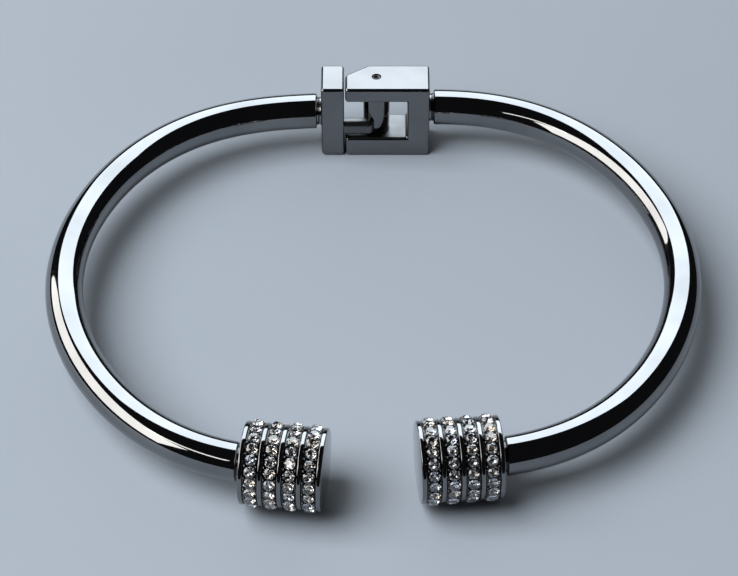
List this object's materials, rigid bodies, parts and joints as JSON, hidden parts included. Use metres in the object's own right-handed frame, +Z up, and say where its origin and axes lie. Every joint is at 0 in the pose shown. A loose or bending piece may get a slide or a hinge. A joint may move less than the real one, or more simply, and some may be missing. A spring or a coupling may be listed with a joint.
{
  "type": "bangle bracelet",
  "caption": "Oval hinged cuff bangle of polished steel tube with a pinned spring hinge block and two crystal-set barrel ends that leave an opening.",
  "frame": {"origin": "centre of the bounding box on the surface the bangle lies on", "axes": "+X across the bangle's width, +Y from the opening to the hinge, +Z up along the hinge pin"},
  "size_m": [0.0696, 0.0622, 0.0096],
  "materials": {
    "polished_steel": "mirror polished stainless steel",
    "satin_steel": "fine turned stainless steel",
    "raw_steel": "plain drawn steel",
    "crystal": "clear faceted crystal on a foiled back"
  },
  "bodies": {
    "right_half": {"right_tube": "polished_steel", "fork_bracket": "polished_steel", "hinge_pin": "raw_steel", "torsion_spring": "raw_steel", "upper_washer": "satin_steel", "lower_washer": "satin_steel", "right_hinge_neck": "satin_steel", "right_hinge_peg": "raw_steel", "right_barrel_neck": "satin_steel", "right_barrel_peg": "raw_steel", "right_barrel_core": "polished_steel", "right_end_cap": "polished_steel", "right_crystal_row_1": "crystal", "right_crystal_row_2": "crystal", "right_crystal_row_3": "crystal", "right_crystal_row_4": "crystal"},
    "left_half": {"left_tube": "polished_steel", "knuckle_bracket": "polished_steel", "left_hinge_neck": "satin_steel", "left_hinge_peg": "raw_steel", "left_barrel_neck": "satin_steel", "left_barrel_peg": "raw_steel", "left_barrel_core": "polished_steel", "left_end_cap": "polished_steel", "left_crystal_row_1": "crystal", "left_crystal_row_2": "crystal", "left_crystal_row_3": "crystal", "left_crystal_row_4": "crystal"}
  },
  "joints": [
    {"name": "hinge_opening", "type": "hinge", "parent": "right_half", "child": "left_half", "pos_m": [0.00034, 0.02862, 0.0048], "axis": [0, 0, -1], "range_deg": [0, 50], "stiffness_Nm_per_rad": 0.02, "springref_deg": -11.46}
  ]
}
